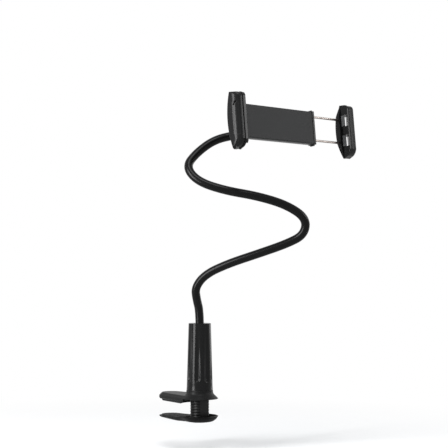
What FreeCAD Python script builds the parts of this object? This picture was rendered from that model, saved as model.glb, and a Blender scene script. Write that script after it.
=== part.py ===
import FreeCAD, Part
import math
import os

# A flexible gooseneck tablet holder, in millimetres. The origin is the middle of the upper clamp pad, on the table
# top. +Z is up, +Y runs in over the table and +X runs along its edge.

os.makedirs("parts", exist_ok=True)
V = FreeCAD.Vector
UP = V(0, 0, 1)
ORIGIN = V(0, 0, 0)

# Clamp: both jaws are teardrops, round about the column and narrower at the tip
column_y = -46.0
round_radius = 26.0
tip_radius = 18.0
tip_reach = 63.5
opening = 19.5
slide_gap = 0.3

# Upper jaw
pad_thickness = 3.0
tongue_top = 12.0
tongue_shoulder = 8.0
tongue_bevel = 4.0
tongue_round = 2.5
hub_underside = 7.5
hub_recess_radius = 23.0
hub_recess_y = 6.7
hub_top = 19.0
hub_top_radius = 18.9
spigot_height = 8.0
pad_inset = 4.0
pad_start_radius = 27.0

# Grip: a tall handle whose straight flutes run out towards its narrow top
grip_height = 93.7
grip_foot_radius = 18.7
grip_foot_height = 9.0
grip_bottom_radius = 18.2
grip_top_radius = 15.8
grip_edge = 0.8
flute_count = 8
flute_radius = 5.5
flute_floor = 15.9
flute_foot = 11.0
flute_turn = -49.5
nut_radius = 15.0
nut_height = 24.0
washer_thickness = 0.8
washer_width = 2.5
ring_thickness = 1.6
ring_groove = 0.7
ring_height = 4.2
ring_mouth = 7.0

# Post: a screw with two flats, which slides through the upper jaw without turning
post_radius = 13.2
post_flat = 10.3
post_top = 72.0
post_screw_radius = 2.5
post_screw_head = 4.6
post_screw_spacing = 13.0
post_screw_length = 16.0

# Lower jaw: a shallow bowl about the post, with a thin tongue
lower_pad_thickness = 1.5
lower_tongue_thickness = 3.8
lower_tongue_start = 6.0
bowl_rim_above_tongue = 4.6
bowl_rim_width = 2.2
bowl_foot_radius = 15.0

# Neck: a bendable rod in a smooth sheath
neck_radius = 6.0
core_radius = 4.0
core_gap = 0.05
ferrule_radius = 7.2
ferrule_depth = 10.0
ferrule_flange_radius = 11.0
ferrule_flange_height = 3.0
ferrule_tail = 24.0
bush_wall = 1.2

# Ball joint behind the holder
ball_centre = V(28, -149, 385)
lean_back = 6.0
ball_radius = 7.5
shank_radius = 3.3
seat_wall = 1.5
ball_gap = 0.2
seat_front = 6.5
seat_back = 4.2
seat_slits = 4
seat_slit_width = 1.0
boss_radius = 13.0
boss_end = 1.0
lock_nut_radius = 15.6
lock_nut_front = -7.0
lock_nut_back = 8.5
lock_nut_mouth = 7.6
lock_nut_flare = 10.5
lock_nut_lobes = 12
lock_nut_lobe_radius = 2.6
stud_pin_radius = 3.0
stud_pin_length = 10.0
upper_ferrule_start = 13.0
upper_ferrule_length = 24.0

# Holder body, in its own frame about the ball: x across, y to the back, z up
body_left = -65.0
body_right = 72.4
panel_front = -24.0
panel_back = -12.5
panel_split = -18.5
panel_half_height = 23.1
body_wall = 2.3
body_end_wall = 8.0
body_edge = 1.6
cap_thickness = 3.4
cap_proud = 0.6
cap_plug = 6.5
cap_nub = 1.6
body_screw_x = 56.0
body_screw_z = 7.0
body_screw_radius = 1.25
body_screw_head = 2.6

# Guide rods of the sliding jaw, with their springs
rod_radius = 1.6
rod_spacing = 33.6
rod_gap = 0.15
rod_inner_end = -6.0
rod_bite = 6.0
collar_radius = 3.0
collar_length = 4.0
spring_radius = 2.9
spring_wire = 0.9
jaw_gap = 53.0

# Jaws: a wall with a lip in front and a flange behind, under a deep cover
jaw_front = -36.0
jaw_back = -13.5
jaw_top_bow = 7.8
jaw_bottom_bow = 7.8
jaw_wall = 2.9
lip_width = 2.5
lip_thickness = 2.5
flange_width = 4.2
flange_front = -22.2
flange_upper_taper = (16.0, 27.0)
flange_lower_taper = (-12.0, -39.0)
flange_end_width = 0.6
jaw_top = 37.6
jaw_bottom = -39.8
jaw_top_slope = 1.6
jaw_bottom_slope = 5.2
jaw_top_radius = 5.5
jaw_bottom_radius = 7.0
jaw_front_edge = 0.8
cover_thickness = 11.0
cover_back = -13.5
cover_top_bow = 6.5
cover_bottom_bow = 7.0
cover_step = 0.5
cover_edge = 2.0
slot_width = 2.8
slot_far = 22.5
slot_near = 6.3
slot_slant = 1.15
slot_step = 0.15
recess_length = 46.0
recess_width = 12.5
recess_front = 3.0
recess_depth = 0.6
notch_length = 7.0
notch_width = 1.6
notch_depth = 1.4
notch_turn = 40.0
jaw_pad_thickness = 1.0
nub_height = 0.5
nub_width = 5.0
nub_depth = 4.5
nub_inset = 0.6

axis = V(0, column_y, 0)
grip_bottom = hub_top + washer_thickness + 0.05
grip_top = grip_bottom + grip_height
lower_pad_top = -opening
lower_tongue_top = lower_pad_top - lower_pad_thickness
lower_bottom = lower_tongue_top - lower_tongue_thickness
bowl_rim = lower_tongue_top + bowl_rim_above_tongue
spigot_radius = nut_radius
nut_bottom = hub_top + spigot_height + 1.0
post_hole = post_radius + slide_gap
socket_radius = ball_radius + 2 * ball_gap + seat_wall
body_split_wall = panel_half_height - body_wall
rod_z = rod_spacing / 2
jaw_inner_right = body_right + cap_thickness + jaw_gap + flange_width
rod_outer_end = jaw_inner_right - flange_width + rod_bite
cap_end = body_right + cap_thickness


def export(name, *solids):
    shape = solids[0] if len(solids) == 1 else Part.makeCompound(list(solids))
    shape.exportStep("parts/" + name + ".step")


def wire(points):
    # straight sides between the points; a pair is an arc through its first point to its second
    edges = []
    here = points[0]
    for step in points[1:]:
        if isinstance(step, tuple):
            edges.append(Part.Arc(here, step[0], step[1]).toShape())
            here = step[1]
        else:
            edges.append(Part.LineSegment(here, step).toShape())
            here = step
    if here.distanceToPoint(points[0]) > 1e-7:
        edges.append(Part.LineSegment(here, points[0]).toShape())
    return Part.Wire(edges)


def prism(points, along):
    return Part.Face(wire(points)).extrude(along)


def box(low, high):
    return Part.makeBox(high[0] - low[0], high[1] - low[1], high[2] - low[2], V(*low))


def rod(radius, start, end):
    run = end - start
    return Part.makeCylinder(radius, run.Length, start, run)


def turned(points, centre=None, direction=UP):
    # a profile of (radius, height) pairs, turned about an axis
    centre = axis if centre is None else centre
    flat = [tuple(V(*p, 0) for p in step) if isinstance(step[0], tuple) else V(*step, 0) for step in points]
    solid = Part.Face(wire(flat)).revolve(ORIGIN, V(0, 1, 0), 360)
    solid.Placement = FreeCAD.Placement(centre, FreeCAD.Rotation(V(0, 1, 0), direction))
    return solid


def edges_at(solid, test):
    return [e for e in solid.Edges if test(e.BoundBox)]


def edges_level(solid, z):
    return edges_at(solid, lambda b: abs(b.ZMin - z) < 1e-4 and abs(b.ZMax - z) < 1e-4)


# Clamp

def teardrop(big, small, z, reach=tip_reach):
    # the outline round two circles, the big one about the column, joined by their tangents
    a = math.asin((big - small) / reach)
    tip = V(0, reach, 0)
    left, right = V(-math.cos(a), math.sin(a), 0), V(math.cos(a), math.sin(a), 0)
    lift = V(0, column_y, z)
    return wire([
        right * big + lift,
        tip + right * small + lift,
        (tip + V(0, small, 0) + lift, tip + left * small + lift),
        left * big + lift,
        (V(0, -big, 0) + lift, right * big + lift),
    ])


def slab(outline, thickness):
    return Part.Face(outline).extrude(V(0, 0, thickness))


def flatted(radius, flat, z0, z1):
    # a round bar with two flats, which face along Y
    bar = rod(radius, axis + UP * z0, axis + UP * z1)
    return bar.common(box((-2 * radius, column_y - flat, z0), (2 * radius, column_y + flat, z1)))


def upper_jaw():
    tongue = slab(teardrop(round_radius, tip_radius, pad_thickness), tongue_shoulder - pad_thickness)
    tongue = tongue.makeFillet(tongue_round, edges_level(tongue, pad_thickness))
    crown = Part.makeLoft([
        teardrop(round_radius, tip_radius, tongue_shoulder),
        teardrop(round_radius - tongue_bevel, tip_radius - tongue_bevel, tongue_top),
    ], True, True)
    neck_r = round_radius - tongue_bevel
    bend = V(hub_top_radius + 0.6, (tongue_top + hub_top) / 2, 0)
    hub = turned([(0, tongue_top - 1), (neck_r, tongue_top - 1), (neck_r, tongue_top),
                  ((bend.x, bend.y - 0.6), (hub_top_radius, hub_top)), (0, hub_top)])
    spigot = rod(spigot_radius, axis + UP * (hub_top - 1), axis + UP * (hub_top + spigot_height))
    jaw = tongue.fuse([crown, hub, spigot])
    under = pad_thickness - 1
    recess = rod(hub_recess_radius, axis + UP * under, axis + UP * hub_underside)
    behind = box((-60, column_y - 60, under), (60, column_y + hub_recess_y, hub_underside))
    groove = ring_gap(spigot_radius - ring_groove, spigot_radius + 3, hub_top + ring_height, ring_thickness)
    hole = flatted(post_hole, post_flat + slide_gap, 0, hub_top + spigot_height + 1)
    return jaw.cut([recess, behind, groove, hole]).removeSplitter()


def ring_gap(inner, outer, z, height):
    return turned([(inner, z), (outer, z), (outer, z + height), (inner, z + height)])


def upper_pad():
    big, small = round_radius - pad_inset, tip_radius - pad_inset
    pad = slab(teardrop(big, small, 0), pad_thickness)
    return pad.cut(rod(pad_start_radius, axis - UP, axis + UP * (pad_thickness + 1)))


def thrust_washer():
    inner = spigot_radius + slide_gap
    return ring_gap(inner, inner + washer_width, hub_top, washer_thickness)


def retaining_ring():
    # a snap ring, open on one side, that keeps the grip on the spigot
    z = hub_top + ring_height + 0.05
    ring = ring_gap(spigot_radius - ring_groove + 0.05, spigot_radius + 1.2, z, ring_thickness - 0.1)
    mouth = box((-ring_mouth / 2, column_y - 30, z - 1), (ring_mouth / 2, column_y, z + 3))
    return ring.cut(mouth)


def grip_flutes():
    # each flute is a straight round groove whose floor is upright, so the taper makes it run out at the top
    foot = grip_bottom + flute_foot
    flutes = []
    for k in range(flute_count):
        a = math.radians(flute_turn + 360.0 * k / flute_count)
        reach = flute_floor + flute_radius
        place = axis + V(math.sin(a), -math.cos(a), 0) * reach
        start = place + UP * (foot + flute_radius)
        flutes.append(rod(flute_radius, start, place + UP * (grip_top + 5)))
        flutes.append(Part.makeSphere(flute_radius, start))
    return flutes


def grip():
    slope = (grip_bottom_radius - grip_top_radius) / grip_height
    foot, foot_top = grip_foot_radius, grip_bottom + grip_foot_height
    bend = ((foot + grip_bottom_radius) / 2 - 0.1, grip_bottom + 0.4 * grip_foot_height)
    body = turned([
        (0, grip_bottom), (foot - 0.5, grip_bottom), (foot, grip_bottom + 0.5), (bend, (grip_bottom_radius, foot_top)),
        (grip_top_radius + slope * grip_edge, grip_top - grip_edge), (grip_top_radius - grip_edge, grip_top),
        (0, grip_top),
    ])
    bore = rod(spigot_radius + slide_gap, axis + UP * (grip_bottom - 1), axis + UP * nut_bottom)
    nut_seat = rod(nut_radius, axis + UP * (nut_bottom - 1), axis + UP * (nut_bottom + nut_height))
    cavity = rod(post_hole, axis + UP * nut_bottom, axis + UP * flange_top())
    mouth = rod(ferrule_radius + slide_gap + bush_wall, axis + UP * grip_bottom, axis + UP * (grip_top + 1))
    groove = ring_gap(spigot_radius - 1, spigot_radius + 1.4, hub_top + ring_height - 0.1, ring_thickness + 0.2)
    return body.cut(grip_flutes() + [bore, nut_seat, cavity, mouth, groove]).removeSplitter()


def flange_top():
    return grip_top - ferrule_depth - 11.5


def nut_insert():
    return ring_gap(post_hole - 0.2, nut_radius, nut_bottom, nut_height)


def grip_bush():
    inner = ferrule_radius + slide_gap
    return ring_gap(inner, inner + bush_wall, flange_top(), grip_top - flange_top())


def lower_jaw():
    tongue = slab(teardrop(round_radius - 3, tip_radius, lower_bottom), lower_tongue_thickness)
    tongue = tongue.makeFillet(2.0, edges_level(tongue, lower_bottom))
    tongue = tongue.cut(box((-60, column_y - 60, lower_bottom - 1), (60, column_y + lower_tongue_start, 0)))
    middle = (0.55 * round_radius + 0.45 * bowl_foot_radius, 0.35 * bowl_rim + 0.65 * lower_bottom - 0.6)
    rim_in = round_radius - bowl_rim_width
    bowl = turned([(0, lower_bottom), (bowl_foot_radius, lower_bottom), (middle, (round_radius, bowl_rim)),
                   (rim_in, bowl_rim), (rim_in - 1.4, lower_tongue_top), (0, lower_tongue_top)])
    inside = turned([(0, lower_tongue_top), (rim_in - 1.4, lower_tongue_top), (rim_in, bowl_rim), (0, bowl_rim)])
    jaw = tongue.fuse(bowl).cut(inside)
    return jaw.cut([post_screw(s, 0.02) for s in (-1, 1)]).removeSplitter()


def post_screw(side, grow=0.0):
    # a countersunk screw, up through the lower jaw into the post
    y = column_y + side * post_screw_spacing / 2
    foot = V(0, y, lower_bottom + 0.2)
    depth = post_screw_head - post_screw_radius
    head = Part.makeCone(post_screw_head, post_screw_radius, depth, foot, UP)
    shank = rod(post_screw_radius + grow, foot, foot + UP * post_screw_length)
    socket = rod(1.6, foot - UP, foot + UP * 1.4)
    return head.fuse(shank) if grow else head.fuse(shank).cut(socket)


def lower_pad():
    big, small = round_radius - pad_inset, tip_radius - pad_inset
    pad = slab(teardrop(big, small, lower_tongue_top), lower_pad_thickness)
    return pad.cut(rod(pad_start_radius, axis - UP * 60, axis))


def clamp_post():
    post = flatted(post_radius, post_flat, lower_tongue_top, post_top)
    post = post.makeChamfer(1.0, edges_level(post, post_top))
    return post.cut([post_screw(s, 0.02) for s in (-1, 1)])


# Neck

def tilted(x, y, z):
    # a point of the holder's frame, which leans back about the ball
    a = math.radians(lean_back)
    return ball_centre + V(x, y * math.cos(a) + z * math.sin(a), z * math.cos(a) - y * math.sin(a))


def in_place(shape):
    shape.Placement = FreeCAD.Placement(ball_centre, FreeCAD.Rotation(V(1, 0, 0), -lean_back)) * shape.Placement
    return shape


neck_start = axis + UP * (grip_top - ferrule_depth)
neck_end_y = upper_ferrule_start + upper_ferrule_length - ferrule_depth
neck_corners = [
    V(0, -46, 130), V(-4, -44, 147), V(-7, -44, 164), V(0, -59, 183), V(17, -90, 198), V(39, -125, 211),
    V(63, -159, 225), V(76, -179, 237), V(75, -185, 259), V(49, -174, 277), V(15, -152, 289),
    V(-19, -121, 297), V(-41, -90, 310), V(-46, -71, 331), V(-27, -70, 351), V(-2, -80, 371),
]
neck_points = [neck_start] + neck_corners + [tilted(0, neck_end_y + 31, 0), tilted(0, neck_end_y, 0)]


def corner_arc(i):
    # the arc that rounds corner i of the route: its start, centre, axis, turn and radius
    before, corner, after = neck_points[i - 1], neck_points[i], neck_points[i + 1]
    a, b = corner - before, after - corner
    tangent = 0.45 * min(a.Length, b.Length)
    a.normalize()
    b.normalize()
    turn = a.getAngle(b)
    radius = tangent / math.tan(turn / 2)
    normal = a.cross(b).normalize()
    start = corner - a * tangent
    return start, start + normal.cross(a) * radius, normal, turn, radius, a, corner + b * tangent, b


def middle(i):
    return (neck_points[i] + neck_points[i + 1]) * 0.5


def ring_face(centre, direction, outer, inner):
    face = Part.Face(Part.Wire(Part.makeCircle(outer, centre, direction)))
    if inner:
        face = face.cut(Part.Face(Part.Wire(Part.makeCircle(inner, centre, direction))))
    return face


def tube(first, last, outer, inner=0.0):
    # the neck's stretch round corners first to last, as straight runs and turned arcs
    here = neck_start if first == 1 else middle(first - 1)
    stop = neck_points[-1] if last == len(neck_points) - 2 else middle(last)
    pieces = []
    for i in range(first, last + 1):
        start, centre, normal, turn, radius, a, finish, b = corner_arc(i)
        pieces.append(ring_face(here, a, outer, inner).extrude(start - here))
        pieces.append(ring_face(start, a, outer, inner).revolve(centre, normal, math.degrees(turn)))
        here = finish
    pieces.append(ring_face(here, b, outer, inner).extrude(stop - here))
    whole = pieces[0].fuse(pieces[1:]).removeSplitter()
    return whole.Solids[0] if len(whole.Solids) == 1 else whole


def neck_pieces():
    # stretches between the middles of the route's runs: a rigid span, then a bend zone, and so on
    stretches = [
        ("1", 1, 2), ("bend_1", 3, 4), ("2", 5, 7), ("bend_2", 8, 9), ("3", 10, 12), ("bend_3", 13, 15), ("4", 16, 17),
    ]
    for name, first, last in stretches:
        export("neck_sheath_" + name, tube(first, last, neck_radius, core_radius + core_gap))
        export("neck_core_" + name, tube(first, last, core_radius))
    print("neck radii", [round(corner_arc(i)[4], 1) for i in range(1, len(neck_points) - 1)])


def lower_ferrule():
    top = grip_top
    low = flange_top() - ferrule_flange_height
    seat = neck_start.z
    return turned([
        (0, low), (ferrule_flange_radius, low), (ferrule_flange_radius, flange_top() - 0.05),
        (ferrule_radius, flange_top() - 0.05), (ferrule_radius, top), (neck_radius + core_gap, top),
        (neck_radius + core_gap, seat), (0, seat),
    ])


def along_stem(points):
    # a profile of (radius, y) pairs turned about the ball's stem
    return turned(points, ORIGIN, V(0, 1, 0))


def upper_ferrule():
    start, end = upper_ferrule_start, upper_ferrule_start + upper_ferrule_length
    pin = stud_pin_radius + core_gap
    return in_place(along_stem([
        (pin, start), (ferrule_radius - 1, start), (ferrule_radius, start + 1), (ferrule_radius, end - 4),
        (neck_radius + 0.5, end), (neck_radius + core_gap, end), (neck_radius + core_gap, neck_end_y),
        (0, neck_end_y), (0, start + stud_pin_length + 0.1), (pin, start + stud_pin_length + 0.1),
    ]))


# Ball joint

def ball_stud():
    ball = Part.makeSphere(ball_radius)
    end = upper_ferrule_start
    shank = rod(shank_radius, ORIGIN, V(0, end - 0.3, 0))
    pin = rod(stud_pin_radius, ORIGIN, V(0, end + stud_pin_length, 0))
    flat = box((-20, -20, -20), (20, -ball_radius + 0.5, 20))
    return in_place(ball.fuse([shank, pin]).cut(flat).removeSplitter())


def ball_seat():
    inner = ball_radius + ball_gap
    outer = inner + seat_wall
    shell = Part.makeSphere(outer).cut(Part.makeSphere(inner))
    shell = shell.common(box((-20, -seat_front, -20), (20, seat_back, 20)))
    slits = []
    for k in range(seat_slits // 2):
        slit = box((-20, -1.5, -seat_slit_width / 2), (20, 20, seat_slit_width / 2))
        slit.rotate(ORIGIN, V(0, 1, 0), 45 + 90 * k)
        slits.append(slit)
    return in_place(shell.cut(slits))


def lock_nut():
    edge = math.sqrt(socket_radius ** 2 - lock_nut_mouth ** 2)
    join = math.sqrt(socket_radius ** 2 - (boss_end + 0.2) ** 2)
    bend = (join + lock_nut_mouth) / 2
    bend_y = math.sqrt(socket_radius ** 2 - bend ** 2)
    thread = boss_radius + ball_gap
    out = lock_nut_radius
    nut = along_stem([
        (thread, lock_nut_front), (out - 1, lock_nut_front), (out, lock_nut_front + 1), (out, lock_nut_back - 1.6),
        (out - 1.6, lock_nut_back), (lock_nut_flare, lock_nut_back), (lock_nut_mouth, edge),
        ((bend, bend_y), (join, boss_end + 0.2)), (thread, boss_end + 0.2),
    ])
    lobes = []
    for k in range(lock_nut_lobes):
        a = 2 * math.pi * k / lock_nut_lobes
        reach = out + lock_nut_lobe_radius - 0.9
        spot = V(reach * math.cos(a), 0, reach * math.sin(a))
        lobes.append(rod(lock_nut_lobe_radius, spot + V(0, lock_nut_front - 1, 0), spot + V(0, lock_nut_back + 1, 0)))
    return in_place(nut.cut(lobes))


# Holder body

def half_shell(front, back, open_side):
    # one half of the body: a long tray whose open side meets the other half
    half = panel_half_height
    shell = box((body_left, front, -half), (body_right, back, half))
    outer = front if open_side == back else back
    corners = edges_at(shell, lambda b: b.XLength > 50 and abs(b.YMin - outer) < 1e-4 and b.YLength < 1e-4)
    shell = shell.makeFillet(body_edge, corners)
    low = front if open_side == front else front + body_wall
    high = back if open_side == back else back - body_wall
    inside = body_split_wall
    return shell.cut(box((body_left + body_end_wall, low, -inside), (body_right + 1, high, inside)))


def body_screw_spots():
    return [(sx * body_screw_x, sz * body_screw_z) for sx in (-1, 1) for sz in (-1, 1)]


def front_panel():
    panel = half_shell(panel_front, panel_split, panel_split)
    for x, z in body_screw_spots():
        panel = panel.fuse(rod(3.0, V(x, panel_front + 1, z), V(x, panel_split, z)))
        panel = panel.cut(rod(body_screw_radius, V(x, panel_front + body_wall, z), V(x, panel_split + 1, z)))
    for z in (-1, 1):
        spot = V(body_left - 1, jaw_screw_y(), z * jaw_screw_z())
        panel = panel.cut(rod(body_screw_radius, spot, spot + V(body_end_wall, 0, 0)))
    return in_place(panel.removeSplitter())


def rear_housing():
    shell = half_shell(panel_split, panel_back, panel_split)
    boss = rod(boss_radius, V(0, panel_back - 1, 0), V(0, boss_end, 0))
    shell = shell.fuse(boss).cut(Part.makeSphere(socket_radius))
    for x, z in body_screw_spots():
        shell = shell.fuse(rod(3.0, V(x, panel_split, z), V(x, panel_back - 1, z)))
        shell = shell.cut(body_screw(x, z, 0.1))
    return in_place(shell.removeSplitter())


def body_screw(x, z, grow=0.0):
    back = panel_back
    head = rod(body_screw_head + grow, V(x, back - 1.8, z), V(x, back + (1 if grow else 0), z))
    shank = rod(body_screw_radius, V(x, back - 1.8, z), V(x, panel_front + body_wall + 0.4, z))
    if grow:
        return head.fuse(shank)
    cross = box((x - 1.5, back - 0.9, z - 0.35), (x + 1.5, back + 1, z + 0.35))
    return head.fuse(shank).cut([cross, turned_quarter(cross, x, z)])


def turned_quarter(shape, x, z):
    shape = shape.copy()
    shape.rotate(V(x, 0, z), V(0, 1, 0), 90)
    return shape


def end_cap():
    half = panel_half_height + cap_proud
    front, back = panel_front - cap_proud, panel_back + cap_proud
    plate = box((body_right, front, -half), (cap_end, back, half))
    plate = plate.makeFillet(1.0, edges_at(plate, lambda b: b.XLength > 1 and b.YLength + b.ZLength < 1e-4))
    inside = body_split_wall - 0.1
    plug = box((body_right - cap_plug, panel_front + body_wall + 0.1, -inside),
               (body_right + 1, panel_back - body_wall - 0.1, inside))
    cap = plate.fuse(plug)
    for side in (-1, 1):
        low, high = sorted((side * (half - 2), side * (half + cap_nub)))
        nub = box((body_right + 0.4, front + 3, low), (cap_end - 0.4, back - 3, high))
        cap = cap.fuse(nub.makeFillet(0.7, edges_at(nub, lambda b: b.YLength > 1)))
        cap = cap.cut(rod(rod_radius + rod_gap, V(0, panel_split, side * rod_z), V(200, panel_split, side * rod_z)))
    return in_place(cap.removeSplitter())


# Sliding mechanism

def each_rod(make):
    return [in_place(make(side * rod_z)) for side in (-1, 1)]


def guide_rod(z):
    return rod(rod_radius, V(rod_inner_end, panel_split, z), V(rod_outer_end, panel_split, z))


def rod_collar(z):
    # a shouldered collar on the rod's inner end, which the spring pushes on
    start, end = V(rod_inner_end, panel_split, z), V(rod_inner_end + collar_length, panel_split, z)
    return rod(collar_radius, start, end).cut(rod(rod_radius, start, end))


def rod_spring(z):
    start = V(rod_inner_end + collar_length, panel_split, z)
    end = V(body_right - cap_plug, panel_split, z)
    return rod(spring_radius, start, end).cut(rod(spring_radius - spring_wire, start, end))


def rod_screw(z):
    x = jaw_inner_right - flange_width / 2
    foot = V(x, panel_split + rod_radius, z)
    screw = rod(1.5, foot, V(x, jaw_back - 0.3, z))
    return screw.cut(rod(0.8, V(x, jaw_back - 1.8, z), V(x, jaw_back, z)))


# Jaws, in their own frame: x outwards from the wall's inner face, y and z as the holder's

def jaw_side(x, back, bows, shrink=0.0):
    # the side view of a jaw: bowed at the back, with round front corners and a bottom that slopes up to the front
    front, back = jaw_front + shrink, back - shrink
    high, low = jaw_top - shrink, jaw_bottom + shrink
    high_back, low_back = back - bows[0], back - bows[1]
    top, bottom = high - jaw_top_slope, low + jaw_bottom_slope
    r1, r2 = jaw_top_radius, jaw_bottom_radius
    k = 1 - math.sqrt(0.5)
    lean1 = jaw_top_slope * r1 / (high_back - front)
    lean2 = jaw_bottom_slope * r2 / (low_back - front)
    return wire([
        V(x, high_back, high), V(x, front + r1, top + lean1),
        (V(x, front + r1 * k, top - r1 * k), V(x, front, top - r1)), V(x, front, bottom + r2),
        (V(x, front + r2 * k, bottom + r2 * k), V(x, front + r2, bottom - lean2)), V(x, low_back, low),
        (V(x, back, (high + low) / 2), V(x, high_back, high)),
    ])


def slots(grow=0.0):
    # two slots beside the lip, which slant to the back on their way out
    reach = jaw_wall + cover_thickness + 1
    cuts = []
    for side in (-1, 1):
        low, high = sorted((side * (slot_near - grow), side * (slot_far + grow)))
        front = jaw_front + lip_thickness - grow
        back = front + slot_width + 2 * grow
        points = [V(-1, front - slot_slant, low), V(reach, front + slot_slant * reach, low),
                  V(reach, back + slot_slant * reach, low), V(-1, back - slot_slant, low)]
        cuts.append(prism(points, V(0, 0, high - low)))
    return cuts


def flange_tapers():
    # the wedges that narrow the flange towards its ends
    cuts = []
    for near, far in (flange_lower_taper, flange_upper_taper):
        past = math.copysign(60, far)
        w, e, y = -flange_width, -flange_end_width, flange_front - 0.5
        points = [V(w - 1, y, near), V(w, y, near), V(e, y, far), V(e, y, past), V(w - 1, y, past)]
        cuts.append(prism(points, V(0, 40, 0)))
    return cuts


def jaw_frame():
    lip_back = jaw_front + lip_thickness
    section = [
        V(-lip_width, jaw_front, -60), V(jaw_wall, jaw_front, -60), V(jaw_wall, jaw_back, -60),
        V(-flange_width, jaw_back, -60), V(-flange_width, flange_front, -60), V(0, flange_front, -60),
        V(0, lip_back, -60), V(-lip_width, lip_back, -60),
    ]
    bows = (jaw_top_bow, jaw_bottom_bow)
    side = Part.Face(jaw_side(-flange_width, jaw_back, bows)).extrude(V(flange_width + jaw_wall, 0, 0))
    frame = prism(section, V(0, 0, 120)).common(side)
    rim = edges_at(frame, lambda b: abs(b.YMin - jaw_front) < 1e-4 and b.YLength < 1e-4 and b.ZLength > 20)
    return frame.makeFillet(jaw_front_edge, rim).cut(flange_tapers() + slots())


def jaw_cover():
    # its outer edge is rounded in steps
    bows = (cover_top_bow, cover_bottom_bow)
    outside = jaw_wall + cover_thickness
    outlines = [jaw_side(jaw_wall, cover_back, bows, cover_step)]
    for degrees in (0, 30, 60, 90):
        a = math.radians(degrees)
        x = outside - cover_edge * (1 - math.sin(a))
        outlines.append(jaw_side(x, cover_back, bows, cover_step + cover_edge * (1 - math.cos(a))))
    cover = Part.makeLoft(outlines, True, True)
    y = jaw_front + recess_front + recess_width / 2
    recess = box((outside - recess_depth, y - recess_width / 2, -recess_length / 2),
                 (outside + 1, y + recess_width / 2, recess_length / 2))
    recess = recess.makeFillet(recess_width / 2 - 0.5, edges_at(recess, lambda b: b.XLength > 1))
    notch = box((outside - recess_depth - notch_depth, -notch_length / 2, -notch_width / 2),
                (outside + 1, notch_length / 2, notch_width / 2))
    notch.rotate(ORIGIN, V(1, 0, 0), -notch_turn)
    notch.translate(V(0, y, recess_length / 2 - notch_length / 2))
    return cover.cut([recess, notch]).removeSplitter()


def cover_heel():
    # the small foot at the back of the fixed jaw's lower end
    outside = jaw_wall + cover_thickness - cover_edge
    heel = cover_back - cover_bottom_bow - nub_inset
    return box((outside - nub_depth, heel - nub_width, jaw_bottom - nub_height), (outside, heel, jaw_bottom + 6))


def jaw_pads():
    # two soft strips on the wall, above and below its bare middle
    pads = []
    for side in (-1, 1):
        low, high = sorted((side * slot_near, side * slot_far))
        front = jaw_front + lip_thickness + slot_width + 0.3
        pads.append(box((-jaw_pad_thickness, front, low), (0, panel_front - 0.3, high)))
    return pads


def jaw_screw_z():
    return 12.0


def jaw_screw_y():
    return (panel_front + panel_split) / 2


def jaw_screw(side, grow=0.0):
    # a pan head screw through the fixed jaw's wall into the body's end
    spot = V(jaw_wall, jaw_screw_y(), side * jaw_screw_z())
    shank = rod(body_screw_radius, spot, spot - V(jaw_wall + body_end_wall - 1.5, 0, 0))
    return shank.fuse(rod(body_screw_head + grow, spot - V(1.6, 0, 0), spot))


def at_left(shape):
    # mirrored, so that outwards is -X
    shape = shape.mirror(ORIGIN, V(1, 0, 0))
    shape.translate(V(body_left, 0, 0))
    return in_place(shape)


def at_right(shape):
    shape = shape.copy()
    shape.translate(V(jaw_inner_right, 0, 0))
    return in_place(shape)


def fixed_jaw_frame():
    body = box((-60, panel_front, -panel_half_height), (0, panel_back, panel_half_height))
    frame = jaw_frame().cut([body] + [jaw_screw(s, 0.1) for s in (-1, 1)])
    return at_left(frame.removeSplitter())


def sliding_jaw_frame():
    holes = []
    for side in (-1, 1):
        start = V(-flange_width - 1, panel_split, side * rod_z)
        holes.append(rod(rod_radius, start, start + V(rod_bite + 1, 0, 0)))
        spot = V(-flange_width / 2, panel_split, side * rod_z)
        holes.append(rod(1.5, spot, spot + V(0, 20, 0)))
    return at_right(jaw_frame().cut(holes).removeSplitter())


def build():
    export("upper_jaw", upper_jaw())
    export("upper_jaw_pad", upper_pad())
    export("thrust_washer", thrust_washer())
    export("grip_retaining_ring", retaining_ring())
    export("grip", grip())
    export("grip_nut", nut_insert())
    export("grip_bush", grip_bush())
    export("lower_jaw", lower_jaw())
    export("lower_jaw_pad", lower_pad())
    export("clamp_post", clamp_post())
    export("post_screws", *[post_screw(s) for s in (-1, 1)])
    export("neck_ferrule_lower", lower_ferrule())
    neck_pieces()
    export("neck_ferrule_upper", upper_ferrule())
    export("ball_stud", ball_stud())
    export("ball_seat", ball_seat())
    export("lock_nut", lock_nut())
    export("rear_housing", rear_housing())
    export("front_panel", front_panel())
    export("end_cap", end_cap())
    export("housing_screws", *[in_place(body_screw(x, z)) for x, z in body_screw_spots()])
    export("guide_rods", *each_rod(guide_rod))
    export("rod_collars", *each_rod(rod_collar))
    export("rod_springs", *each_rod(rod_spring))
    export("rod_screws", *each_rod(rod_screw))
    export("fixed_jaw_frame", fixed_jaw_frame())
    export("fixed_jaw_cover", at_left(jaw_cover().fuse(cover_heel()).removeSplitter()))
    export("fixed_jaw_pads", *[at_left(p) for p in jaw_pads()])
    export("fixed_jaw_screws", *[at_left(jaw_screw(s)) for s in (-1, 1)])
    export("sliding_jaw_frame", sliding_jaw_frame())
    export("sliding_jaw_cover", at_right(jaw_cover().cut(slots(slot_step)).removeSplitter()))
    export("sliding_jaw_pads", *[at_right(p) for p in jaw_pads()])


build()
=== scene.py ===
import math
import bmesh
import bpy
import numpy as np
from mathutils import Matrix, Vector


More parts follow.
